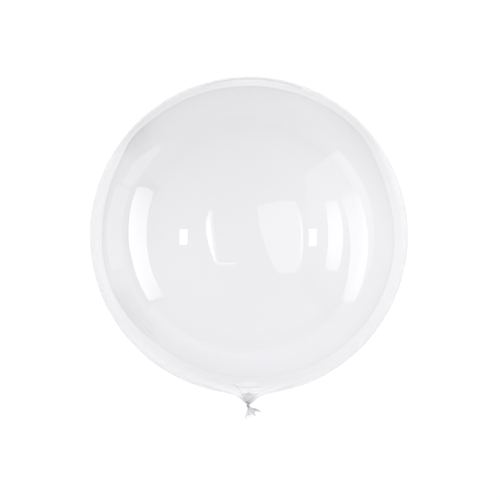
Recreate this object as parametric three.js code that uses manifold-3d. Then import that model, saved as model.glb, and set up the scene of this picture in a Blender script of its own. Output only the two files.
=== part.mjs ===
// A clear bubble balloon, blown up, tied off at its neck and lying on its side.
// Millimetres, +Z up. The neck points towards -Y, and the origin is the middle of the flat spot
// that the balloon lies on. The film is one piece, so the body, neck, knot and tail are one solid.

import * as THREE from 'three';
import { mergeVertices } from 'three/addons/utils/BufferGeometryUtils.js';
import Module from 'manifold-3d';

// The round body.
const balloonRadius = 250;
const flatSpotRadius = 30;
const sidesAround = 64;
const roundRowAngle = 6;

// The funnel, where the film leaves the sphere to be gathered into the neck.
const funnelReach = 16;
const funnelRadius = 12.5;
const funnelSharpness = 2.6;
const funnelRows = 12;
const funnelEdgeAngle = 12;

// The folds of the gathered film. Their depth is a share of the radius at the neck.
const foldCount = 9;
const foldDepth = 0.24;
const foldFade = 30;

// The neck, squeezed thin above the knot and running through it into the tail.
const neckRadius = 2.4;
const neckCoreRadius = 2;
const neckLength = 6.5;
const neckShift = -1.2;

// The knot: two turns of the neck that cross over each other, drawn tight round its bunched film.
const knotReach = 19;
const knotShift = -1.7;
const knotTurnRadius = 1.7;
const knotStrandRadius = 1.15;
const knotBunchRadius = 2.3;
const knotTilts = [24, -38];

// The tail: the cut end of the neck, splayed into a fan of pleats behind the knot.
// Angles run from straight out of the neck towards +X, and reaches are measured from the tail's root.
const tailRootReach = 20.5;
const tailShift = -0.9;
const tailRootLength = 0.8;
const tailPleats = [
  { angle: -19, reach: 14.5 },
  { angle: -15, reach: 19.0 },
  { angle: -5, reach: 14.5 },
  { angle: 7, reach: 16.2 },
  { angle: 22, reach: 13.2 },
  { angle: 39, reach: 18.2 },
  { angle: 54, reach: 13.0 },
  { angle: 67, reach: 22.4 },
  { angle: 73, reach: 19.0 },
];
const tailSheetThickness = 0.9;
const tailRidgeThickness = 1.5;
const tailRidgeWidth = 5;
const tailWave = 1.7;
const tailWaveCount = 4;
const tailStepsAcross = 30;
const tailStepsAlong = 6;

const centreHeight = Math.sqrt(balloonRadius ** 2 - flatSpotRadius ** 2);
const degrees = THREE.MathUtils.degToRad;

const wasm = await Module();
wasm.setup();

// Turns a closed geometry into a solid that can be joined and cut.
function solidOf(geometry) {
  const bare = geometry.clone();
  bare.deleteAttribute('normal');
  bare.deleteAttribute('uv');
  const merged = mergeVertices(bare);
  const corners = merged.index.array;
  const triangles = [];
  for (let i = 0; i < corners.length; i += 3) {
    const [a, b, c] = corners.slice(i, i + 3);
    if (a !== b && b !== c && c !== a) {
      triangles.push(a, b, c);
    }
  }
  return new wasm.Manifold(new wasm.Mesh({
    numProp: 3,
    vertProperties: new Float32Array(merged.attributes.position.array),
    triVerts: new Uint32Array(triangles),
  }));
}

function geometryOf(solid) {
  const mesh = solid.getMesh();
  const geometry = new THREE.BufferGeometry();
  geometry.setAttribute('position', new THREE.BufferAttribute(mesh.vertProperties, 3));
  geometry.setIndex(new THREE.BufferAttribute(mesh.triVerts, 1));
  geometry.computeVertexNormals();
  return geometry;
}

// Moves every corner of a geometry to where place(corner) puts it.
function bend(geometry, place) {
  const position = geometry.attributes.position;
  const corner = new THREE.Vector3();
  for (let i = 0; i < position.count; i += 1) {
    corner.fromBufferAttribute(position, i);
    place(corner);
    position.setXYZ(i, corner.x, corner.y, corner.z);
  }
  return geometry;
}

// The film's outline at a distance along it from the balloon's low pole: a circle that the funnel
// draws out beyond the sphere.
function outlinePoint(distance) {
  const angle = distance / balloonRadius;
  const drawn = funnelReach / (1 + (distance / funnelRadius) ** funnelSharpness);
  return new THREE.Vector2(
    balloonRadius * Math.sin(angle),
    -balloonRadius * Math.cos(angle) - drawn,
  );
}

function bodyOutline() {
  const waist = outlinePoint(neckRadius);
  const neckEnd = waist.y - neckLength;
  const points = [
    new THREE.Vector2(0, neckEnd),
    new THREE.Vector2(neckCoreRadius, neckEnd),
    new THREE.Vector2(neckCoreRadius, waist.y - neckLength / 3),
  ];
  const funnelEdge = balloonRadius * degrees(funnelEdgeAngle);
  for (let row = 0; row < funnelRows; row += 1) {
    points.push(outlinePoint(neckRadius * (funnelEdge / neckRadius) ** (row / funnelRows)));
  }
  for (let angle = funnelEdgeAngle; angle < 180; angle += roundRowAngle) {
    points.push(outlinePoint(balloonRadius * degrees(angle)));
  }
  points.push(new THREE.Vector2(0, balloonRadius));
  return points;
}

// Uneven folds round the neck, deepest there and fading out over the body.
function foldAt(angle, distance) {
  const narrowFolds = 0.65 * Math.sin(foldCount * angle + 0.8 * Math.sin(2 * angle));
  const broadFolds = 0.35 * Math.sin(4 * angle);
  return foldDepth * (narrowFolds + broadFolds) * Math.exp(-distance / foldFade);
}

function filmBody() {
  const geometry = new THREE.LatheGeometry(bodyOutline(), sidesAround);
  return bend(geometry, (corner) => {
    const radius = Math.hypot(corner.x, corner.z);
    const distance = balloonRadius * Math.atan2(radius, -corner.y);
    const scale = 1 + foldAt(Math.atan2(corner.z, corner.x), distance);
    const sideways = neckShift * Math.exp(-((distance / (2 * funnelRadius)) ** 2));
    corner.x = corner.x * scale + sideways;
    corner.z *= scale;
  });
}

function knotTurn(tilt, turn) {
  const geometry = new THREE.TorusGeometry(knotTurnRadius, knotStrandRadius, 8, 18);
  geometry.rotateX(Math.PI / 2);
  geometry.rotateZ(degrees(tilt));
  geometry.rotateY(degrees(turn));
  geometry.translate(knotShift, -balloonRadius - knotReach, 0);
  return geometry;
}

function knotBunch() {
  const geometry = new THREE.SphereGeometry(knotBunchRadius, 16, 10);
  geometry.translate(knotShift, -balloonRadius - knotReach, 0);
  return geometry;
}

// How far the tail reaches at an angle, on straight lines between its pleats' tips and valleys.
function tailReachAt(angle) {
  const next = Math.max(1, tailPleats.findIndex((pleat) => pleat.angle >= angle - 1e-6));
  const before = tailPleats[next - 1];
  const after = tailPleats[next];
  const share = (angle - before.angle) / (after.angle - before.angle);
  return THREE.MathUtils.lerp(before.reach, after.reach, share);
}

// The film is rolled into a ridge along each pleat that reaches further than its neighbours.
function tailThicknessAt(angle) {
  const tips = tailPleats.filter((pleat, i) => i % 2 === 1);
  const ridge = tips.reduce(
    (most, tip) => Math.max(most, Math.exp(-(((angle - tip.angle) / tailRidgeWidth) ** 2))),
    0,
  );
  return tailSheetThickness + tailRidgeThickness * ridge;
}

function tailFan() {
  const firstAngle = tailPleats[0].angle;
  const lastAngle = tailPleats[tailPleats.length - 1].angle;
  const geometry = new THREE.BoxGeometry(1, 1, 1, tailStepsAcross, tailStepsAlong, 1);
  return bend(geometry, (corner) => {
    const across = corner.x + 0.5;
    const along = 0.5 - corner.y;
    const angle = THREE.MathUtils.lerp(firstAngle, lastAngle, across);
    const reach = THREE.MathUtils.lerp(tailRootLength, tailReachAt(angle), along);
    const wave = tailWave * along * Math.sin(2 * Math.PI * tailWaveCount * across);
    corner.set(
      tailShift + reach * Math.sin(degrees(angle)),
      -balloonRadius - tailRootReach - reach * Math.cos(degrees(angle)),
      wave + corner.z * tailThicknessAt(angle),
    );
  });
}

function flatSpotCutter() {
  const side = 4 * balloonRadius;
  const geometry = new THREE.BoxGeometry(side, side, side);
  geometry.translate(0, 0, -side / 2 - centreHeight);
  return geometry;
}

function balloonGeometry() {
  const joined = solidOf(filmBody())
    .add(solidOf(knotBunch()))
    .add(solidOf(knotTurn(knotTilts[0], 0)))
    .add(solidOf(knotTurn(knotTilts[1], 60)))
    .add(solidOf(tailFan()))
    .subtract(solidOf(flatSpotCutter()));
  const geometry = geometryOf(joined);
  geometry.translate(0, 0, centreHeight);
  return geometry;
}

const clearFilm = new THREE.MeshStandardMaterial({
  color: 0xf1f1f5,
  roughness: 0.04,
  metalness: 0,
  transparent: true,
  opacity: 0.3,
});

const balloon = new THREE.Mesh(balloonGeometry(), clearFilm);
balloon.name = 'bubble_balloon';

const part = new THREE.Group();
part.add(balloon);

export default part;
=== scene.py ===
"""A clear bubble balloon, tied off at its neck and lying on its side, seen from straight above.

The file is laid out as a Blender add-on and is run as a script. The film's round body, the slack
film in its neck, the knot and the tail are made by one operator each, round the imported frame, and
one more makes the studio. Metres throughout, +Z up, with the neck towards -Y.
"""

import math

import bpy
import numpy as np
from bpy.props import FloatProperty, FloatVectorProperty, IntProperty, PointerProperty
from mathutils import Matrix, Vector


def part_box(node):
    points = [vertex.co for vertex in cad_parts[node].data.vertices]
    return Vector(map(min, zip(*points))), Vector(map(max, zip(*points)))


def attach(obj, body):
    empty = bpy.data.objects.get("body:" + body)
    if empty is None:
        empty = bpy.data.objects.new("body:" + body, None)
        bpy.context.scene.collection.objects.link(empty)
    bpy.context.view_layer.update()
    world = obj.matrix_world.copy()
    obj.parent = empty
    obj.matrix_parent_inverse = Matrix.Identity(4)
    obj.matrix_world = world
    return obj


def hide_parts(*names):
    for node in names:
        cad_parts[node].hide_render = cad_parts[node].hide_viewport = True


bl_info = {
    "name": "Clear Bubble Balloon",
    "version": (1, 0, 0),
    "blender": (4, 5, 0),
    "location": "3D View > Sidebar > Balloon",
    "description": "Makes a clear bubble balloon with its knot and tail, in a plain pale studio",
    "category": "Add Mesh",
}

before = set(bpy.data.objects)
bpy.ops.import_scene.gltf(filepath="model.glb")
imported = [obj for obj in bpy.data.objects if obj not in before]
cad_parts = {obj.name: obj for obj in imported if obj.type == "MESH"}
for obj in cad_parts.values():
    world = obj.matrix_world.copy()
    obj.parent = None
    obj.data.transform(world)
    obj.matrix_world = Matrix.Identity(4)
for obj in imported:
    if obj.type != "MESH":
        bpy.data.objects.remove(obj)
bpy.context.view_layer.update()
NODE = "bubble_balloon"
NODE_LOW, NODE_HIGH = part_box(NODE)
BODY = "root"
MM = 0.001

BALLOON_RADIUS = (NODE_HIGH.x - NODE_LOW.x) / 2
CENTRE = Vector((0, NODE_HIGH.y - BALLOON_RADIUS, NODE_HIGH.z - BALLOON_RADIUS))


class BalloonShape(bpy.types.PropertyGroup):
    """Sizes of the film, its gathered neck, the knot and the tail."""

    film_thickness: FloatProperty(
        name="Film thickness", description="Thickness of the blown-up film",
        default=0.08 * MM, min=0.02 * MM, unit="LENGTH", precision=5)
    funnel_reach: FloatProperty(
        name="Funnel reach", description="How far the gathered film is drawn out beyond the sphere",
        default=16 * MM, unit="LENGTH")
    funnel_radius: FloatProperty(
        name="Funnel radius", description="Distance from the neck at which the funnel is half drawn out",
        default=12.5 * MM, unit="LENGTH")
    funnel_sharpness: FloatProperty(
        name="Funnel sharpness", description="How quickly the funnel runs back into the sphere",
        default=2.6)
    fold_count: IntProperty(
        name="Folds", description="Number of main folds round the neck", default=9)
    fold_depth: FloatProperty(
        name="Fold depth", description="Depth of the folds as a share of the radius there", default=0.24)
    fold_fade: FloatProperty(
        name="Fold fade", description="Distance over which the folds run out over the body",
        default=30 * MM, unit="LENGTH")
    neck_radius: FloatProperty(
        name="Neck radius", description="Radius of the neck where it is squeezed above the knot",
        default=2.4 * MM, unit="LENGTH")
    neck_core_radius: FloatProperty(
        name="Neck core radius", description="Radius of the neck inside the knot",
        default=1.5 * MM, unit="LENGTH")
    neck_length: FloatProperty(
        name="Neck length", description="Length of the neck from the funnel to the tail",
        default=6.3 * MM, unit="LENGTH")
    neck_shift: FloatProperty(
        name="Neck shift", description="How far the neck sits off the axis, along X",
        default=-1.2 * MM, unit="LENGTH")
    tuck_reach: FloatProperty(
        name="Tuck reach", description="How far the slack film drawn into the neck reaches back from it",
        default=11.6 * MM, unit="LENGTH")
    tuck_radius: FloatProperty(
        name="Tuck radius", description="Radius of that slack film at its rim",
        default=9.6 * MM, unit="LENGTH")
    tuck_thickness: FloatProperty(
        name="Tuck thickness", description="Thickness of the slack film drawn into the neck",
        default=0.1 * MM, unit="LENGTH", precision=5)
    knot_reach: FloatProperty(
        name="Knot reach", description="The knot's middle, beyond the sphere's pole",
        default=19 * MM, unit="LENGTH")
    knot_shift: FloatProperty(
        name="Knot shift", description="How far the knot sits off the axis, along X",
        default=-1.7 * MM, unit="LENGTH")
    knot_turn_radius: FloatProperty(
        name="Knot turn radius", description="Radius of each turn of the knot, to the strand's middle",
        default=1.35 * MM, unit="LENGTH")
    knot_strand_radius: FloatProperty(
        name="Knot strand radius", description="Radius of the bunched strand that the knot is tied in",
        default=0.85 * MM, unit="LENGTH")
    tail_root_reach: FloatProperty(
        name="Tail root reach", description="Where the tail starts, beyond the sphere's pole",
        default=20.5 * MM, unit="LENGTH")
    tail_shift: FloatProperty(
        name="Tail shift", description="How far the tail's root sits off the axis, along X",
        default=-0.9 * MM, unit="LENGTH")
    tail_wave: FloatProperty(
        name="Tail wave", description="Height of the pleats at the tail's open end",
        default=1.7 * MM, unit="LENGTH")


class BalloonFinish(bpy.types.PropertyGroup):
    """Colours and gloss of the clear film."""

    film_colour: FloatVectorProperty(
        name="Film colour", description="Colour of light that has passed through the thinnest film",
        subtype="COLOR", size=3, min=0, max=1, default=(0.982, 0.979, 0.988))
    # Painted shade: the clear film darkens to this colour towards the crown, as if what lies behind it
    # were in shadow.
    crown_shade_colour: FloatVectorProperty(
        name="Crown colour", description="Colour of light through the less stretched film at the crown",
        subtype="COLOR", size=3, min=0, max=1, default=(0.930, 0.927, 0.934))
    bunched_colour: FloatVectorProperty(
        name="Bunched film colour", description="Colour of the film where many layers lie together",
        subtype="COLOR", size=3, min=0, max=1, default=(0.97, 0.97, 0.985))
    slack_colour: FloatVectorProperty(
        name="Slack film colour", description="Colour of the slack film drawn into the neck",
        subtype="COLOR", size=3, min=0, max=1, default=(0.42, 0.42, 0.44))
    folded_colour: FloatVectorProperty(
        name="Folded film colour", description="Colour of the slack film's folded pleats",
        subtype="COLOR", size=3, min=0, max=1, default=(0.58, 0.58, 0.60))
    slack_cover: FloatProperty(
        name="Slack film cover", description="How much of what is behind it the slack film covers",
        default=0.075, min=0, max=1)
    knotted_colour: FloatVectorProperty(
        name="Knotted film colour", description="Colour of the film drawn tight in the knot",
        subtype="COLOR", size=3, min=0, max=1, default=(0.86, 0.86, 0.88))
    rolled_colour: FloatVectorProperty(
        name="Rolled film colour", description="Colour of the tail's tightly rolled pleats",
        subtype="COLOR", size=3, min=0, max=1, default=(0.70, 0.70, 0.71))
    film_ior: FloatProperty(
        name="Film IOR", description="Index of refraction of the film", default=1.5)
    film_roughness: FloatProperty(
        name="Film roughness", description="Roughness of the taut film", default=0.015)
    bunched_roughness: FloatProperty(
        name="Bunched roughness", description="Roughness of the film at the neck, knot and tail",
        default=0.22)


class BalloonStudio(bpy.types.PropertyGroup):
    """The floor, the room's light and the camera."""

    floor_colour: FloatVectorProperty(
        name="Floor colour", description="Colour of the light that the floor gives of its own",
        subtype="COLOR", size=3, min=0, max=1, default=(0.988, 0.983, 1))
    floor_glow: FloatProperty(
        name="Floor glow", description="Light that the floor gives of its own, as a lit table",
        default=0.91)
    film_floor_glow: FloatProperty(
        name="Floor glow through the film", description="Light of the floor where the film is before it",
        default=0.82)
    floor_albedo: FloatProperty(
        name="Floor albedo", description="Share of the light on it that the floor gives back",
        default=0.12)
    room_light: FloatProperty(
        name="Room light", description="Brightness of the pale room round the floor", default=0.93)
    film_room_light: FloatProperty(
        name="Room light through the film", description="Light of the room where the film is before it",
        default=0.9)
    mirrored_overhead: FloatProperty(
        name="Mirrored overhead light", description="Light straight above, as the film mirrors it",
        default=1.1)
    mirrored_horizon: FloatProperty(
        name="Mirrored horizon light", description="Light at the horizon, as the film mirrors it",
        default=0.46)
    mirrored_room_swing: FloatProperty(
        name="Mirrored room swing", description="How much the mirrored room's sides differ from that",
        default=0.1)
    mirrored_far_floor: FloatProperty(
        name="Mirrored far floor", description="Light of the floor far away, as the film mirrors it",
        default=0.41)
    mirrored_sheet: FloatProperty(
        name="Mirrored sheet", description="Light of the sheet close to the balloon, as mirrored",
        default=0.93)
    mirrored_sheet_slope: FloatProperty(
        name="Mirrored sheet slope", description="Gain of that light for each metre towards +Y",
        default=0.25)
    # Painted shadow: the floor's light in reflections is dimmed in a ring just past the sheet's edge, as
    # that edge's shadow.
    mirrored_edge_shadow: FloatProperty(
        name="Mirrored seam", description="Share of the light beside it that the sheet's edge has",
        default=0.75)
    inner_mirroring: FloatProperty(
        name="Inner mirroring", description="How much of the mirrored room the inner skins show",
        default=0.6)
    camera_distance: FloatProperty(
        name="Camera distance", description="Distance from the camera to the balloon's middle",
        default=2.4, unit="LENGTH")


def film_outline(shape, distance):
    """Radius and place along Y of the film at a distance along it from the neck's pole."""
    angle = distance / BALLOON_RADIUS
    drawn = shape.funnel_reach / (1 + (distance / shape.funnel_radius) ** shape.funnel_sharpness)
    return BALLOON_RADIUS * np.sin(angle), -BALLOON_RADIUS * np.cos(angle) - drawn


def main_folds(shape, distance, angle):
    """Uneven folds round the neck, as a share of the radius."""
    narrow = 0.65 * np.sin(shape.fold_count * angle + 0.8 * np.sin(2 * angle))
    broad = 0.35 * np.sin(4 * angle)
    return shape.fold_depth * (narrow + broad) * np.exp(-distance / shape.fold_fade)


def bent_film(shape, distance, angle):
    """The film as the solid has it: the sphere, the funnel, the main folds and the neck's shift."""
    radius, along = film_outline(shape, distance)
    radius = radius * (1 + main_folds(shape, distance, angle))
    sideways = shape.neck_shift * np.exp(-((distance / (2 * shape.funnel_radius)) ** 2))
    return np.stack([
        CENTRE.x + radius * np.cos(angle) + sideways,
        CENTRE.y + along,
        CENTRE.z + radius * np.sin(angle),
    ], axis=-1)


def unit_vectors(vectors):
    """The same directions with a length of 1. The vectors run along the last axis."""
    least_length = 1e-12
    length = np.linalg.norm(vectors, axis=-1, keepdims=True)
    return vectors / np.maximum(length, least_length)


def grid_normals(points):
    """Unit normals of a grid of points whose columns close on themselves, pointing out of the body."""
    down_rows = np.gradient(points, axis=0)
    round_columns = np.roll(points, -1, axis=1) - np.roll(points, 1, axis=1)
    return unit_vectors(np.cross(down_rows, round_columns))


# Creases that run out of the neck: angle round the axis in degrees, then length and depth in
# millimetres. The first is the one that shows.
CREASES = (
    (104, 90, 0.8),
    (64, 42, 0.35),
    (18, 50, 0.3),
    (152, 46, 0.35),
    (205, 60, 0.4),
    (248, 38, 0.3),
    (291, 72, 0.5),
    (335, 44, 0.3),
)
CREASE_WIDTH = 1.6 * MM


def fine_relief(distance, angle):
    """Height of the fine pleats and creases on the film, along its normal."""
    pleat_count = 31
    pleat_height = 0.25 * MM
    pleat_reach = 9 * MM
    crease_start = 8 * MM
    pleats = np.sin(pleat_count * angle + 1.5 * np.sin(3 * angle))
    relief = pleat_height * pleats * np.exp(-distance / pleat_reach)
    radius = BALLOON_RADIUS * np.sin(distance / BALLOON_RADIUS)
    for degrees, length, depth in CREASES:
        share = distance / (length * MM)
        turn = np.angle(np.exp(1j * (angle - math.radians(degrees))))
        across = radius * turn / CREASE_WIDTH
        fade = np.exp(-(share ** 4)) * np.tanh(distance / crease_start)
        relief = relief - depth * MM * fade / (1 + across ** 2)
    return relief


# The film's slack waves go this far to either side of their middle.
WAVE_HEIGHT = 0.25 * MM


def slack_waves(points):
    """Very low waves of the blown-up film, which keep its reflections from being perfect arcs."""
    x, y, z = (points[..., i] / BALLOON_RADIUS for i in range(3))
    wave = np.sin(2.3 * x + 1.1 * y + 0.4) * np.sin(1.9 * y - 1.4 * z + 1.0)
    return WAVE_HEIGHT * (wave - 1)


def rest_on_floor(points):
    """Presses the film flat where it meets the floor, with a soft edge to the flat."""
    softness = 0.15 * MM
    height = points[..., 2]
    points[..., 2] = (height + np.sqrt(height ** 2 + (2 * softness) ** 2)) / 2
    return points


def tube_mesh(grid, first_cap=None, last_cap=None):
    """Vertices and faces of a grid of rings, closed at either end by a point."""
    rows, columns = grid.shape[:2]
    vertices = [tuple(p) for p in grid.reshape(-1, 3)]
    faces = []
    for row in range(rows - 1):
        for column in range(columns):
            after = (column + 1) % columns
            faces.append((
                row * columns + column, (row + 1) * columns + column,
                (row + 1) * columns + after, row * columns + after,
            ))
    if first_cap is not None:
        tip = len(vertices)
        vertices.append(tuple(first_cap))
        faces += [(tip, column, (column + 1) % columns) for column in range(columns)]
    if last_cap is not None:
        tip = len(vertices)
        start = (rows - 1) * columns
        vertices.append(tuple(last_cap))
        faces += [(tip, start + (column + 1) % columns, start + column) for column in range(columns)]
    return vertices, faces


def ring_mesh(grid):
    """Vertices and faces of a closed tube whose ends meet."""
    rows, columns = grid.shape[:2]
    faces = []
    for i in range(rows):
        for j in range(columns):
            a, b, k = i * columns, ((i + 1) % rows) * columns, (j + 1) % columns
            faces.append((a + j, a + k, b + k, b + j))
    return [tuple(p) for p in grid.reshape(-1, 3)], faces


def slab(middle, half_thickness):
    """A closed thin sheet round a grid of points."""
    normal = unit_vectors(np.cross(np.gradient(middle, axis=0), np.gradient(middle, axis=1)))
    rows, columns = middle.shape[:2]
    front = (middle + normal * half_thickness).reshape(-1, 3)
    back = (middle - normal * half_thickness).reshape(-1, 3)
    vertices = [tuple(p) for p in np.concatenate([front, back])]
    count = rows * columns
    faces = []
    for i in range(rows - 1):
        for j in range(columns - 1):
            a, b = i * columns + j, (i + 1) * columns + j
            faces.append((a, b, b + 1, a + 1))
            faces.append((a + count, a + 1 + count, b + 1 + count, b + count))
    border = [(i, 0) for i in range(rows)] + [(rows - 1, j) for j in range(1, columns)]
    border += [(i, columns - 1) for i in range(rows - 2, -1, -1)]
    border += [(0, j) for j in range(columns - 2, 0, -1)]
    for (i, j), (k, m) in zip(border, border[1:] + border[:1]):
        a, b = i * columns + j, k * columns + m
        faces.append((b, a, a + count, b + count))
    return vertices, faces


# How high a roll of film is, as a share of its width.
ROLL_FLATNESS = 0.72


def rolled_film(middle, radius, phase):
    """Film rolled up round a line: a flattened, creased finger with a round tip."""
    sides = 20
    tip_start, tip_length = 0.93, 0.09
    bluntness = 0.02
    along = np.linspace(0, 1, len(middle))
    past = ((along - tip_start) / tip_length).clip(0)
    radius = radius * np.sqrt(np.clip(1 - past ** 2, bluntness, 1))
    ahead = unit_vectors(np.gradient(middle, axis=0))
    up = np.array([0, 0, 1.0])
    sideways = np.cross(ahead, up)
    side = np.arange(sides) * 2 * math.pi / sides
    t, u = np.meshgrid(along, side, indexing="ij")
    crease = 1 + 0.13 * np.sin(5 * u + 6 * t + phase) + 0.06 * np.sin(23 * t + 2 * u)
    width = radius[:, None] * crease
    grid = (middle[:, None] + sideways[:, None] * (width * np.cos(u))[..., None]
            + up * (ROLL_FLATNESS * width * np.sin(u))[..., None])
    return tube_mesh(grid, middle[0], middle[-1])


def add_object(name, data):
    """A new object in the scene."""
    added = bpy.data.objects.new(name, data)
    bpy.context.scene.collection.objects.link(added)
    return added


def join_meshes(parts):
    """One list of vertices and faces from several."""
    vertices, faces = [], []
    for part_vertices, part_faces in parts:
        first = len(vertices)
        vertices += part_vertices
        faces += [tuple(i + first for i in face) for face in part_faces]
    return vertices, faces


def make_piece(name, *finishes):
    """A smooth mesh object that rides on the balloon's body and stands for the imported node.

    Each finish is a material and the meshes that have it.
    """
    vertices, faces = join_meshes([part for _, parts in finishes for part in parts])
    mesh = bpy.data.meshes.new(name)
    mesh.from_pydata(vertices, [], faces)
    mesh.polygons.foreach_set("use_smooth", [True] * len(mesh.polygons))
    slots = []
    for slot, (material, parts) in enumerate(finishes):
        mesh.materials.append(material)
        slots += [slot] * sum(len(part_faces) for _, part_faces in parts)
    mesh.polygons.foreach_set("material_index", slots)
    mesh.validate()
    piece = add_object(name, mesh)
    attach(piece, BODY)
    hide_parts(NODE)
    return piece


def set_inputs(tree, node, inputs):
    """Gives a node's inputs their plain values, or links them to other nodes' sockets."""
    for key, value in inputs.items():
        if isinstance(value, bpy.types.NodeSocket):
            tree.links.new(value, node.inputs[key])
        else:
            node.inputs[key].default_value = value


def add_node(tree, kind, inputs=None, **settings):
    """A shader node with its settings and its inputs."""
    node = tree.nodes.new(kind)
    for key, value in settings.items():
        setattr(node, key, value)
    set_inputs(tree, node, inputs or {})
    return node


def calculate(tree, operation, *values, **settings):
    """The result of one sum on values or sockets."""
    node = add_node(
        tree, "ShaderNodeMath", dict(enumerate(values)), operation=operation, **settings)
    return node.outputs[0]


def map_range(tree, value, ends, results):
    """A value taken from one range to another, held at both ends."""
    node = add_node(tree, "ShaderNodeMapRange", {
        "Value": value, "From Min": ends[0], "From Max": ends[1],
        "To Min": results[0], "To Max": results[1],
    })
    return node.outputs["Result"]


def smooth_step(tree, value, ends):
    """A share that goes smoothly from 0 to 1 as a value goes from one end to the other."""
    node = add_node(tree, "ShaderNodeMapRange", {
        "Value": value, "From Min": ends[0], "From Max": ends[1],
    }, interpolation_type="SMOOTHSTEP")
    return node.outputs["Result"]


def blend(tree, share, first, second):
    """A mix of two values, of which either may be a socket."""
    return add_node(tree, "ShaderNodeMix", {0: share, 2: first, 3: second}).outputs[0]


def mix_colours(tree, share, first, second):
    """A mix of two colours, of which either may be a socket."""
    first, second = (
        colour if isinstance(colour, bpy.types.NodeSocket) else (*colour, 1)
        for colour in (first, second))
    node = add_node(tree, "ShaderNodeMix", {0: share, 6: first, 7: second}, data_type="RGBA")
    return node.outputs[2]


def add_noise(tree, place, scale, detail, stretch=(1, 1, 1)):
    """Soft noise over the object, stretched along its axes."""
    stretched = add_node(tree, "ShaderNodeMapping", {"Vector": place, "Scale": stretch})
    noise = add_node(tree, "ShaderNodeTexNoise", {
        "Vector": stretched.outputs["Vector"], "Scale": scale, "Detail": detail, "Roughness": 0.5})
    return noise.outputs["Fac"]


def add_bump(tree, height, strength, distance):
    """The normal of a fine bump."""
    node = add_node(tree, "ShaderNodeBump", {
        "Height": height, "Strength": strength, "Distance": distance})
    return node.outputs["Normal"]


def start_film_material(name, finish, clearness):
    """A new material with its node tree, the film's clear shader and the object's coordinates."""
    material = bpy.data.materials.new(name)
    material.use_nodes = True
    tree = material.node_tree
    tree.nodes.clear()
    shader = add_node(tree, "ShaderNodeBsdfPrincipled", {
        "IOR": finish.film_ior, "Transmission Weight": clearness})
    add_node(tree, "ShaderNodeOutputMaterial", {"Surface": shader.outputs["BSDF"]})
    place = add_node(tree, "ShaderNodeTexCoord").outputs["Object"]
    return material, tree, shader, place


# Towards the crown, where the film's colour is darkened as painted shade. Its Z is nought, so both walls
# match.
CROWN_SHADE_DIRECTION = Vector((-0.3, 0.954, 0))

# The range in which a noise varies. It seldom goes past these ends.
NOISE_RANGE = (0.3, 0.7)


def taut_film_material(name, finish):
    """Clear glossy film, darkened towards the crown by painted shade, and rougher towards the gathered
    neck.
    """
    material, tree, shader, place = start_film_material(name, finish, 1.0)
    pole = CENTRE.y - BALLOON_RADIUS
    gathering = (pole - 1 * MM, pole - 14 * MM)
    along = add_node(tree, "ShaderNodeSeparateXYZ", {0: place}).outputs["Y"]
    gathered = map_range(tree, along, gathering, (0, 1))

    streaks = add_noise(tree, place, scale=1.0, detail=3.0, stretch=(14, 3, 14))
    smooth, dull = finish.film_roughness * 0.4, finish.film_roughness * 1.6
    roughness = map_range(tree, streaks, NOISE_RANGE, (smooth, dull))

    # Painted shade: the film's colour darkens towards the crown, as if the floor seen through it lay in
    # shadow.
    crown_shade_reach = 0.95 * BALLOON_RADIUS
    toward_crown = add_node(
        tree, "ShaderNodeVectorMath", {0: place, 1: CROWN_SHADE_DIRECTION}, operation="DOT_PRODUCT")
    crown = map_range(tree, toward_crown.outputs["Value"], (0, crown_shade_reach), (0, 1))
    shaded_taut_colour = mix_colours(tree, crown, finish.film_colour, finish.crown_shade_colour)

    swells = add_noise(tree, place, scale=7.0, detail=2.0)
    set_inputs(tree, shader, {
        "Base Color": mix_colours(tree, gathered, shaded_taut_colour, finish.bunched_colour),
        "Roughness": blend(tree, gathered, roughness, finish.bunched_roughness),
        "Normal": add_bump(tree, swells, strength=0.05, distance=1 * MM),
    })
    return material


def bunched_film_material(name, finish, clearness, colour, cover=1.0):
    """Film whose layers lie together, rougher and unevenly creased. Thin cover shows what is behind."""
    material, tree, shader, place = start_film_material(name, finish, clearness)
    whitening = 0.6
    pale = [channel + whitening * (1 - channel) for channel in colour]
    pressed = add_noise(tree, place, scale=260.0, detail=3.0, stretch=(1, 0.4, 1))
    patches = (0.35, 0.65)
    layers = map_range(tree, pressed, patches, (0, 1))
    creases = add_noise(tree, place, scale=900.0, detail=2.0)
    smooth, dull = finish.bunched_roughness * 0.7, finish.bunched_roughness * 1.3
    set_inputs(tree, shader, {
        "Alpha": cover,
        "Base Color": mix_colours(tree, layers, colour, pale),
        "Roughness": map_range(tree, creases, NOISE_RANGE, (smooth, dull)),
        "Normal": add_bump(tree, creases, strength=0.4, distance=0.2 * MM),
    })
    return material


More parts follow.
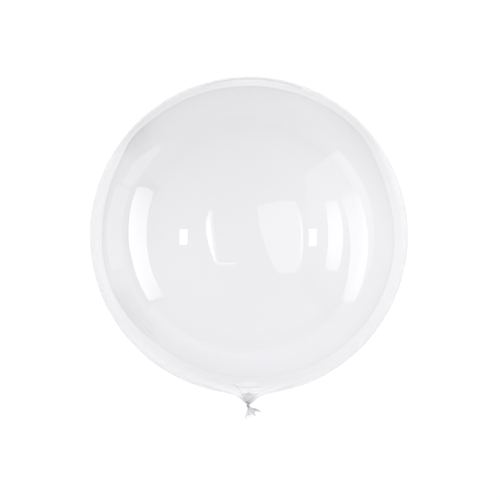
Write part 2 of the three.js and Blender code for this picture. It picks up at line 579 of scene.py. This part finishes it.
class BALLOON_OT_film_body(bpy.types.Operator):
    """Make the blown-up film: its outer and inner skin, the funnel, the folds and the neck."""

    bl_idname = "balloon.film_body"
    bl_label = "Film body"

    def execute(self, context):
        shape = context.scene.balloon_shape
        outer = self.outer_skin(shape)
        inner = outer - grid_normals(outer) * shape.film_thickness
        crown = Vector((0, CENTRE.y + BALLOON_RADIUS - WAVE_HEIGHT, CENTRE.z))
        inner_crown = crown - Vector((0, shape.film_thickness, 0))

        neck = self.neck_rings(shape, outer[0])
        outer_mesh = tube_mesh(np.concatenate([neck, outer]), neck[0].mean(axis=0), crown)
        vertices, faces = tube_mesh(inner, inner[0].mean(axis=0), inner_crown)
        inner_mesh = (vertices, [face[::-1] for face in faces])

        clear = taut_film_material("clear_film", context.scene.balloon_finish)
        make_piece("film_body", (clear, [outer_mesh, inner_mesh]))
        return {"FINISHED"}

    def outer_skin(self, shape):
        """A grid of points whose rows crowd at the neck, and whose columns crowd at the main crease."""
        columns, near_rows, far_rows = 256, 84, 72
        creased_edge = 116 * MM
        crowding = 0.4
        near = np.geomspace(shape.neck_radius, creased_edge, near_rows)
        far = np.linspace(creased_edge, math.pi * BALLOON_RADIUS, far_rows)[1:-1]
        even = np.arange(columns) * 2 * math.pi / columns
        crowded = even - crowding * np.sin(even - math.radians(CREASES[0][0]))
        distance, angle = np.meshgrid(np.concatenate([near, far]), crowded, indexing="ij")
        skin = bent_film(shape, distance, angle)
        relief = fine_relief(distance, angle) + slack_waves(skin)
        return rest_on_floor(skin + grid_normals(skin) * relief[..., None])

    def neck_rings(self, shape, waist):
        """The neck's rings, from its end in the knot up to the waist, which is the skin's first ring."""
        steps = 8
        squeezed_by = 1 / 3
        middle = waist.mean(axis=0)
        rings = []
        for step in range(steps, 0, -1):
            share = step / steps
            narrowing = (1 - shape.neck_core_radius / shape.neck_radius) * min(1, share / squeezed_by)
            ring = middle + (waist - middle) * (1 - narrowing)
            ring[:, 0] += (shape.tail_shift - shape.neck_shift) * share
            ring[:, 1] -= shape.neck_length * share
            rings.append(ring)
        return np.array(rings)


# Pleats of slack film that lie against the inside of the skin, at its front left: the route, as
# distances from the neck in millimetres and degrees round it, then how far out they lie, as a share
# of the skin's radius, and their own radius at the foot, the middle and the tip, in millimetres.
SLACK_PLEATS = (
    (((2.4, 95), (9, 126)), 0.75, (0.8, 1.6, 0.5)),
    (((12, 117), (30, 109), (60, 102.5), (100, 101), (110, 104.5)), 0.975, (0.6, 1.3, 0.5)),
)


class BALLOON_OT_slack_film(bpy.types.Operator):
    """Make the slack film inside the funnel: the cup drawn into the neck, and its folded pleats."""

    bl_idname = "balloon.slack_film"
    bl_label = "Slack film"

    def execute(self, context):
        shape = context.scene.balloon_shape
        finish = context.scene.balloon_finish
        slack = bunched_film_material(
            "slack_film", finish, clearness=0, colour=finish.slack_colour, cover=finish.slack_cover)
        folded = bunched_film_material(
            "folded_film", finish, clearness=0.5, colour=finish.folded_colour)
        pleats = [self.slack_pleat(shape, *pleat) for pleat in SLACK_PLEATS]
        film = make_piece("slack_film", (slack, [self.tuck(shape)]), (folded, pleats))
        film.visible_glossy = False
        return {"FINISHED"}

    def tuck(self, shape):
        """The slack film that is drawn into the neck: a small pleated cup with a straight rim."""
        rows, sides = 22, 128
        pleat_count, pleat_depth = 13, 0.05
        foot_radius = 0.6 * shape.neck_radius
        foot_depth = 0.4 * MM
        flare = 0.8
        recentring = 0.4
        share, angle = np.meshgrid(
            np.linspace(0, 1, rows), np.arange(sides) * 2 * math.pi / sides, indexing="ij")
        pleats = 1 + pleat_depth * np.sin(pleat_count * angle + 2 * np.sin(2 * angle) + 1.5 * share)
        radius = (foot_radius + (shape.tuck_radius - foot_radius) * share ** flare) * pleats
        neck_end = film_outline(shape, shape.neck_radius)[1]
        outside = np.stack([
            CENTRE.x + shape.neck_shift * (1 - recentring * share) + radius * np.cos(angle),
            CENTRE.y + neck_end + shape.tuck_reach * share,
            CENTRE.z + radius * np.sin(angle),
        ], axis=-1)
        inside = outside - grid_normals(outside) * shape.tuck_thickness
        foot = outside[0].mean(axis=0) - np.array((0, foot_depth, 0))
        return tube_mesh(np.concatenate([outside, inside[::-1]]), foot, inside[0].mean(axis=0))

    def slack_pleat(self, shape, route, share_out, sizes):
        """A pleat of the slack film that is folded over against the skin, on a smooth curve."""
        steps = 40
        distances, degrees = np.array(route, float).T
        distance = np.linspace(distances[0], distances[-1], steps)
        curve = np.polyfit(distances, degrees, min(3, len(degrees) - 1))
        turn = np.radians(np.polyval(curve, distance))
        skin = bent_film(shape, distance * MM, turn)
        axis = np.stack([
            np.full(steps, CENTRE.x + shape.neck_shift), skin[:, 1], np.full(steps, CENTRE.z)], axis=1)
        middle = axis + share_out * (skin - axis)
        along = np.linspace(0, 1, steps)
        return rolled_film(middle, np.interp(along, (0, 0.5, 1), sizes) * MM, degrees[0])


class BALLOON_OT_knot(bpy.types.Operator):
    """Make the knot: the pleated neck tied over and under itself and drawn tight."""

    bl_idname = "balloon.knot"
    bl_label = "Knot"

    def execute(self, context):
        shape = context.scene.balloon_shape
        steps, sides = 220, 24
        middle = Vector((
            shape.knot_shift, CENTRE.y - BALLOON_RADIUS - shape.knot_reach, CENTRE.z))
        along = np.arange(steps) * 2 * math.pi / steps
        path = np.array([self.knot_path(shape, t) for t in along])
        ahead = unit_vectors(np.roll(path, -1, axis=0) - np.roll(path, 1, axis=0))
        outward = unit_vectors(path - (path * ahead).sum(axis=1, keepdims=True) * ahead)
        across = np.cross(ahead, outward)
        side = np.arange(sides) * 2 * math.pi / sides
        t, u = np.meshgrid(along, side, indexing="ij")
        pleats = 1 + 0.10 * np.sin(5 * u + 3 * np.sin(2 * t)) + 0.05 * np.sin(3 * t + 2 * u)
        strand = shape.knot_strand_radius * pleats
        grid = (path[:, None] + outward[:, None] * (strand * np.cos(u))[..., None]
                + across[:, None] * (strand * np.sin(u))[..., None])
        finish = context.scene.balloon_finish
        material = bunched_film_material(
            "knotted_film", finish, clearness=0.9, colour=finish.knotted_colour)
        knot = make_piece("knot", (material, [ring_mesh(grid + np.array(middle))]))
        knot.visible_glossy = False
        return {"FINISHED"}

    def knot_path(self, shape, t):
        """The strand's middle line: three crossings round the neck's own axis."""
        in_and_out = 0.75 * MM
        to_and_fro = 1.15 * MM
        out = shape.knot_turn_radius + in_and_out * math.cos(3 * t)
        return (out * math.cos(2 * t), to_and_fro * math.sin(3 * t), out * math.sin(2 * t))


# The tail's pleats, as tips and valleys in turn: degrees towards +X, and reach in millimetres.
TAIL_PLEATS = (
    (-19, 14.5), (-15, 18.6), (-5, 14.0), (7, 16.2), (22, 12.6),
    (39, 18.0), (54, 12.6), (67, 20.0), (73, 17.0),
)

# The tail's sheets: how far the sheet bows up or down in millimetres, the phase of its waves, their
# number, and its reach as a share of the pleats'.
TAIL_SHEETS = (
    (0.35, 0.0, 4, 1.0),
    (-0.35, 1.7, 5, 0.95),
)

# Pleats that are rolled up tight: degrees and reach in millimetres, the roll's radius at the root,
# at its thickest and at its end in millimetres, where it is thickest, and its height above the
# sheets in millimetres.
TAIL_ROLLS = (
    (68, 22.2, 0.45, 1.4, 0.35, 0.68, 0.3),
    (61, 15.0, 0.35, 0.8, 0.3, 0.6, -0.4),
    (-15.5, 19.4, 0.4, 0.55, 0.95, 0.9, 0.2),
    (38, 17.8, 0.35, 0.75, 0.5, 0.8, 0.5),
    (-2, 13.5, 0.5, 0.45, 0.2, 0.3, 0.8),
    (17, 9.5, 0.6, 0.5, 0.15, 0.3, 1.0),
)

# How far from the tail's root its sheets and rolls start, in millimetres.
TAIL_START = 0.5


class BALLOON_OT_tail(bpy.types.Operator):
    """Make the tail: thin sheets of film splayed out of the knot, with some pleats rolled tight."""

    bl_idname = "balloon.tail"
    bl_label = "Tail"

    def execute(self, context):
        shape = context.scene.balloon_shape
        sheets = [self.sheet(shape, *sizes) for sizes in TAIL_SHEETS]
        rolls = [self.roll(shape, *sizes) for sizes in TAIL_ROLLS]
        finish = context.scene.balloon_finish
        splayed = bunched_film_material(
            "tail_film", finish, clearness=0.8, colour=finish.bunched_colour)
        rolled = bunched_film_material(
            "rolled_film", finish, clearness=0.6, colour=finish.rolled_colour)
        tail = make_piece("tail", (splayed, sheets), (rolled, rolls))
        tail.visible_glossy = False
        return {"FINISHED"}

    def fan_points(self, shape, angle, reach, height):
        """Points of the fan at angles and reaches from the tail's root."""
        return np.stack([
            shape.tail_shift + reach * np.sin(angle),
            CENTRE.y - BALLOON_RADIUS - shape.tail_root_reach - reach * np.cos(angle),
            CENTRE.z + height,
        ], axis=-1)

    def sheet(self, shape, bow, phase, wave_count, share):
        """One thin sheet of the fan, as a closed slab with a ragged edge."""
        across_steps, along_steps = 110, 30
        angles, reaches = np.array(TAIL_PLEATS, float).T
        across, along = np.meshgrid(
            np.linspace(0, 1, across_steps), np.linspace(0, 1, along_steps), indexing="ij")
        angle = angles[0] + (angles[-1] - angles[0]) * across
        ragged = 1 + 0.03 * np.sin(50 * across + phase) + 0.015 * np.sin(131 * across)
        edge = np.interp(angle, angles, reaches) * MM * share * ragged
        reach = TAIL_START * MM + (edge - TAIL_START * MM) * along
        wave = shape.tail_wave * along * np.sin(2 * math.pi * wave_count * across + phase)
        wave += 0.3 * MM * along * np.sin(34 * across + 7 * along + phase)
        height = 0.8 * wave + bow * MM * np.sin(math.pi * across) * (0.4 + along)
        turn = np.radians(angle + 1.5 * np.sin(9 * along + 20 * across + phase) * along)
        return slab(self.fan_points(shape, turn, reach, height), shape.film_thickness / 2)

    def roll(self, shape, degrees, end, root, thick, tip, thickest, lift):
        """One pleat rolled into a flattened, creased finger, which sways and rises on its way."""
        steps = 40
        sway = 2.5
        ripple = 0.3
        along = np.linspace(0, 1, steps)
        reach = (TAIL_START + (end - TAIL_START) * along) * MM
        angle = np.radians(degrees + sway * np.sin(5 * along + degrees))
        height = (lift + ripple * np.sin(6 * along + degrees)) * along * MM
        middle = self.fan_points(shape, angle, reach, height)
        radius = np.interp(along, (0, thickest, 1), (root, thick, tip)) * MM
        return rolled_film(middle, radius, degrees)


# Panels that light the film and are seen only as reflections: the plane that each lies in, as an
# axis and a distance, its brightness, the share by which that fades to its ends, or to one end
# where it is less than nought, and its corners in that plane.
PANELS = (
    ("left_strip", "X", -1.0, 3.7, 0.5, (
        (0.43, 0.33), (0.47, 0.48), (0.46, 0.65), (-0.71, 0.65), (-0.70, 0.53), (-0.65, 0.37),
        (-0.21, 0.38))),
    ("left_strip_rim", "X", -1.03, 0.05, 0, (
        (0.60, 0.30), (0.55, 0.74), (0.30, 0.66), (-0.73, 0.64), (-0.75, 0.22), (-0.20, 0.31),
        (0.25, 0.30))),
    ("right_strip", "X", 1.0, 3.1, 0.5, (
        (0.43, 0.74), (0.46, 0.61), (0.42, 0.44), (-0.25, 0.35), (-0.62, 0.26), (-0.69, 0.38),
        (-0.69, 0.50), (-0.27, 0.63))),
    ("second_right_strip", "X", 1.4, 4.0, 0.45, (
        (0.59, 1.30), (0.61, 1.20), (0.56, 0.98), (0.34, 0.94), (-0.48, 0.92), (-0.57, 0.95),
        (-0.62, 1.10), (-0.59, 1.29))),
    ("left_lamp", "Z", 1.5, 6.0, 0, (
        (-1.28, 0.11), (-1.04, 0.10), (-1.05, -0.17), (-1.29, -0.18))),
    ("right_lamp", "Z", 1.5, 6.0, 0, (
        (1.01, 0.10), (1.24, 0.11), (1.25, -0.20), (1.02, -0.19))),
    ("overhead_panel", "Z", 3.4, 2.3, 0, (
        (0.33, 1.09), (1.15, 1.39), (2.07, 1.49), (2.28, 0.90), (2.36, 0.00), (2.36, -1.51),
        (2.12, -1.68), (1.28, -1.61), (1.11, -1.43), (0.77, -0.82), (0.50, -0.12), (0.37, 0.46))),
    ("overhead_panel_edge", "Z", 3.39, 3.8, 0.3, (
        (2.13, 0.94), (2.23, 0.10), (2.23, -1.26), (2.38, -1.28), (2.37, 0.10), (2.28, 0.96))),
    ("overhead_strip", "Z", 3.4, 5.6, 0.6, (
        (-1.62, 1.07), (-1.74, 0.47), (-1.68, -0.04), (-1.42, -1.06), (-1.30, -1.20), (-1.25, -1.09),
        (-1.41, -0.48), (-1.52, 0.41), (-1.50, 1.05))),
    ("overhead_strip_side", "Z", 3.41, 2.6, 0.6, (
        (-1.62, 1.07), (-1.70, 0.47), (-1.50, -0.49), (-1.30, -1.20), (-1.19, -1.09), (-1.30, -0.48),
        (-1.40, 0.41), (-1.42, 1.05))),
    ("overhead_strip_foot", "Z", 3.4, 3.0, 0, (
        (-1.31, -1.22), (-1.20, -1.10), (-0.49, -1.05), (-0.49, -1.15))),
    ("side_wall", "X", 2.6, 1.45, -0.65, (
        (1.36, 3.28), (2.79, 2.68), (2.50, 0.0), (-2.60, 0.0), (-2.60, 3.30))),
    ("left_card", "Z", 0.004, 1.0, 0, (
        (-0.80, 0.32), (-2.10, 0.80), (-2.10, -0.52), (-0.80, -0.20))),
    ("far_card", "Z", 0.004, 1.1, 0, (
        (-0.98, 0.41), (-0.98, 0.62), (-1.42, 1.44), (-2.72, 2.63), (-3.20, 2.34), (-2.83, 1.42),
        (-1.60, 0.63))),
    ("top_card", "Z", 0.004, 0.75, 0, (
        (-0.11, 0.37), (-0.13, 0.43), (0.15, 0.42), (0.13, 0.36))),
    ("neck_card", "Z", 0.004, 0.85, 0, (
        (-0.06, -0.54), (-0.03, -0.67), (0.03, -0.67), (0.05, -0.54))),
    ("neck_card_edge", "Z", 0.005, 0.5, 0, (
        (-0.06, -0.50), (-0.06, -0.53), (0.05, -0.53), (0.05, -0.50))),
)


def add_panel(name, axis, distance, brightness, fade, corners):
    """Adds a flat panel whose glow is even or fades to its ends, and is seen only in reflections."""
    highest_card = 0.01
    fade_power = 2.2
    places = {
        "X": lambda u, v: (distance, u, v),
        "Z": lambda u, v: (u, v, distance),
    }
    mesh = bpy.data.meshes.new(name)
    mesh.from_pydata([places[axis](u, v) for u, v in corners], [], [tuple(range(len(corners)))])
    panel = add_object(name, mesh)
    panel.visible_camera = False
    panel.visible_transmission = False
    panel.visible_shadow = False
    # A card that lies on the floor mustn't light it.
    lies_on_floor = axis == "Z" and distance < highest_card
    panel.visible_diffuse = not lies_on_floor

    material = bpy.data.materials.new(name)
    material.use_nodes = True
    material.cycles.emission_sampling = "NONE"
    mesh.materials.append(material)
    tree = material.node_tree
    tree.nodes.clear()
    place = add_node(tree, "ShaderNodeTexCoord").outputs["Generated"]
    along = add_node(tree, "ShaderNodeSeparateXYZ", {0: place}).outputs["Y"]
    far_end = 0 if fade < 0 else 1
    from_middle = calculate(tree, "ABSOLUTE", map_range(tree, along, (0, 1), (-1, far_end)))
    faded = calculate(tree, "POWER", from_middle, fade_power)
    strength = map_range(tree, faded, (0, 1), (brightness, brightness * (1 - abs(fade))))
    glow = add_node(tree, "ShaderNodeEmission", {"Strength": strength})
    add_node(tree, "ShaderNodeOutputMaterial", {"Surface": glow.outputs[0]})


# What the film mirrors from the floor round it, by direction: degrees from +X towards +Y, the
# distance to the edge of the white sheet, the light just past that edge, and the sheet's own light.
SURROUNDINGS = (
    (-180, 0.65, 0.50, 0.84), (-162, 0.63, 0.45, 0.82), (-150, 0.67, 0.08, 0.72),
    (-138, 0.74, 0.10, 0.62), (-130, 0.81, 0.24, 0.60), (-110, 0.80, 0.26, 0.48),
    (-90, 0.80, 0.32, 0.42), (-60, 0.72, 0.48, 0.60), (-30, 0.67, 0.45, 0.72),
    (0, 0.71, 0.50, 0.74), (16, 0.73, 0.32, 0.64), (30, 0.66, 0.28, 0.60),
    (43, 0.56, 0.28, 0.62), (65, 0.58, 0.46, 0.72), (90, 0.60, 0.40, 0.82),
    (110, 0.58, 0.42, 0.70), (128, 0.55, 0.35, 0.68), (139, 0.51, 0.14, 0.74),
    (150, 0.60, 0.48, 0.84), (165, 0.64, 0.46, 0.86), (180, 0.65, 0.50, 0.84),
)

# A curve holds values from 0 to 1, so these are kept as shares of this one.
SURROUNDINGS_SCALE = 2.0


def curve_by_direction(tree, turn, values):
    """A value that changes smoothly with direction, from a list of degrees and values."""
    node = add_node(tree, "ShaderNodeFloatCurve", {"Value": turn})
    points = node.mapping.curves[0].points
    places = [((degrees + 180) / 360, value / SURROUNDINGS_SCALE) for degrees, value in values]
    points[0].location = places[0]
    points[1].location = places[-1]
    for place in places[1:-1]:
        points.new(*place)
    node.mapping.update()
    return calculate(tree, "MULTIPLY", node.outputs[0], SURROUNDINGS_SCALE)


# The side of the room, as a direction over the floor, that is lit a little more than the other.
BRIGHT_SIDE = Vector((0.35, -0.937, 0))


def lit_side(tree, direction, studio, light):
    """A light that grows a little towards the room's bright side."""
    side = add_node(
        tree, "ShaderNodeVectorMath", {0: direction, 1: BRIGHT_SIDE}, operation="DOT_PRODUCT")
    return calculate(
        tree, "MULTIPLY_ADD", side.outputs["Value"], studio.mirrored_room_swing, light)


class BALLOON_OT_studio(bpy.types.Operator):
    """Make the pale floor, the room's light, the lamps and the camera."""

    bl_idname = "balloon.studio"
    bl_label = "Studio"

    def execute(self, context):
        studio = context.scene.balloon_studio
        self.make_floor(studio)
        self.make_world(studio)
        for panel in PANELS:
            add_panel(*panel)
        self.make_camera(studio)
        context.scene.view_settings.view_transform = "Standard"
        return {"FINISHED"}

    def make_floor(self, studio):
        """A round floor that glows."""
        radius, sides = 9.0, 96
        vertices = [(radius * math.cos(a), radius * math.sin(a), 0)
                    for a in (2 * math.pi * i / sides for i in range(sides))]
        mesh = bpy.data.meshes.new("floor")
        mesh.from_pydata(vertices, [], [tuple(range(sides))])
        floor = add_object("floor", mesh)

        material = bpy.data.materials.new("pale_floor")
        material.use_nodes = True
        material.cycles.emission_sampling = "NONE"
        mesh.materials.append(material)
        tree = material.node_tree
        set_inputs(tree, tree.nodes["Principled BSDF"], {
            "Base Color": (*[studio.floor_albedo] * 3, 1),
            "Roughness": 0.9,
            "Specular IOR Level": 0,
            "Emission Color": (*studio.floor_colour, 1),
            "Emission Strength": self.floor_light(tree, studio),
        })

    def floor_light(self, tree, studio):
        """An even floor to the eye, with a white sheet, a painted shadow at its edge and dimmer floor
        round it in reflections.

        One part of that floor passes into the next between two reaches, which are shares of the
        distance to the sheet's edge.
        """
        inner_sheet_reaches = (0.5, 0.85)
        edge_reaches = (0.985, 1.01)
        edge_shadow_reaches = (1.02, 1.2)
        open_floor_reaches = (1.3, 4.0)
        place = add_node(tree, "ShaderNodeTexCoord").outputs["Object"]
        axes = add_node(tree, "ShaderNodeSeparateXYZ", {0: place}).outputs
        direction = calculate(tree, "ARCTAN2", axes["Y"], axes["X"])
        turn = map_range(tree, direction, (-math.pi, math.pi), (0, 1))
        edge, near, outer_sheet = (
            curve_by_direction(tree, turn, [(row[0], row[i]) for row in SURROUNDINGS])
            for i in (1, 2, 3))
        length = add_node(tree, "ShaderNodeVectorMath", {0: place}, operation="LENGTH")
        reach = calculate(tree, "DIVIDE", length.outputs["Value"], edge)
        outward = add_node(tree, "ShaderNodeVectorMath", {0: place}, operation="NORMALIZE")
        far = lit_side(tree, outward.outputs[0], studio, studio.mirrored_far_floor)
        open_floor = blend(tree, smooth_step(tree, reach, open_floor_reaches), near, far)
        # Painted shadow of the sheet's edge: a darker ring just past it, seen only in reflections.
        edge_shadow = calculate(tree, "MULTIPLY", near, studio.mirrored_edge_shadow)
        outside = blend(tree, smooth_step(tree, reach, edge_shadow_reaches), edge_shadow, open_floor)
        inner_sheet = calculate(
            tree, "MULTIPLY_ADD", axes["Y"], studio.mirrored_sheet_slope, studio.mirrored_sheet)
        sheet = blend(tree, smooth_step(tree, reach, inner_sheet_reaches), inner_sheet, outer_sheet)
        mirrored = blend(tree, smooth_step(tree, reach, edge_reaches), sheet, outside)
        return self.by_ray(tree, studio, studio.floor_glow, mirrored, studio.film_floor_glow)

    def by_ray(self, tree, studio, seen, mirrored, otherwise):
        """Chooses a light for what the eye sees, for what the film mirrors, and for the rest."""
        ray = add_node(tree, "ShaderNodeLightPath").outputs
        off_film = blend(tree, ray["Is Glossy Ray"], otherwise, mirrored)
        turned = map_range(tree, ray["Glossy Depth"], (0, 1), (0, studio.inner_mirroring))
        inner = blend(tree, turned, otherwise, mirrored)
        past_film = blend(tree, ray["Is Transmission Ray"], off_film, inner)
        return blend(tree, ray["Is Camera Ray"], past_film, seen)

    def make_world(self, studio):
        """A pale room, which the film mirrors as brighter overhead than at the horizon."""
        rise_power = 0.6
        world = bpy.data.worlds.new("room")
        bpy.context.scene.world = world
        world.use_nodes = True
        tree = world.node_tree
        direction = add_node(tree, "ShaderNodeTexCoord").outputs["Generated"]
        height = add_node(tree, "ShaderNodeSeparateXYZ", {0: direction}).outputs["Z"]
        rise = calculate(tree, "POWER", height, rise_power, use_clamp=True)
        room = blend(tree, rise, studio.mirrored_horizon, studio.mirrored_overhead)
        mirrored = lit_side(tree, direction, studio, room)
        set_inputs(tree, tree.nodes["Background"], {
            "Color": (1, 1, 1, 1),
            "Strength": self.by_ray(
                tree, studio, studio.room_light, mirrored, studio.film_room_light),
        })

    def make_camera(self, studio):
        """A camera straight above, that sees the round body at its place in the photograph."""
        pixels = 500
        sphere_pixels = 159.1
        sphere_at = (249.1, 235.5)
        focal_pixels = (sphere_pixels * math.sqrt(studio.camera_distance ** 2 - BALLOON_RADIUS ** 2)
                        / BALLOON_RADIUS)
        camera = bpy.data.cameras.new("camera")
        camera.sensor_width = 36
        camera.lens = focal_pixels * camera.sensor_width / pixels
        pixel = studio.camera_distance / focal_pixels
        eye = add_object("camera", camera)
        eye.location = (
            CENTRE.x + (pixels / 2 - sphere_at[0]) * pixel,
            CENTRE.y - (pixels / 2 - sphere_at[1]) * pixel,
            CENTRE.z + studio.camera_distance,
        )
        bpy.context.scene.camera = eye


class BALLOON_PT_sidebar(bpy.types.Panel):
    """Lists the operators that make the balloon."""

    bl_idname = "BALLOON_PT_sidebar"
    bl_label = "Clear Bubble Balloon"
    bl_space_type = "VIEW_3D"
    bl_region_type = "UI"
    bl_category = "Balloon"

    def draw(self, context):
        for operator in OPERATORS:
            self.layout.operator(operator.bl_idname)


OPERATORS = (
    BALLOON_OT_studio, BALLOON_OT_film_body, BALLOON_OT_slack_film, BALLOON_OT_knot,
    BALLOON_OT_tail)
CLASSES = (BalloonShape, BalloonFinish, BalloonStudio, *OPERATORS, BALLOON_PT_sidebar)


def register():
    for each in CLASSES:
        bpy.utils.register_class(each)
    bpy.types.Scene.balloon_shape = PointerProperty(type=BalloonShape)
    bpy.types.Scene.balloon_finish = PointerProperty(type=BalloonFinish)
    bpy.types.Scene.balloon_studio = PointerProperty(type=BalloonStudio)


def unregister():
    del bpy.types.Scene.balloon_studio
    del bpy.types.Scene.balloon_finish
    del bpy.types.Scene.balloon_shape
    for each in reversed(CLASSES):
        bpy.utils.unregister_class(each)


def main():
    register()
    bpy.ops.balloon.studio()
    bpy.ops.balloon.film_body()
    bpy.ops.balloon.slack_film()
    bpy.ops.balloon.knot()
    bpy.ops.balloon.tail()


if __name__ == "__main__":
    main()
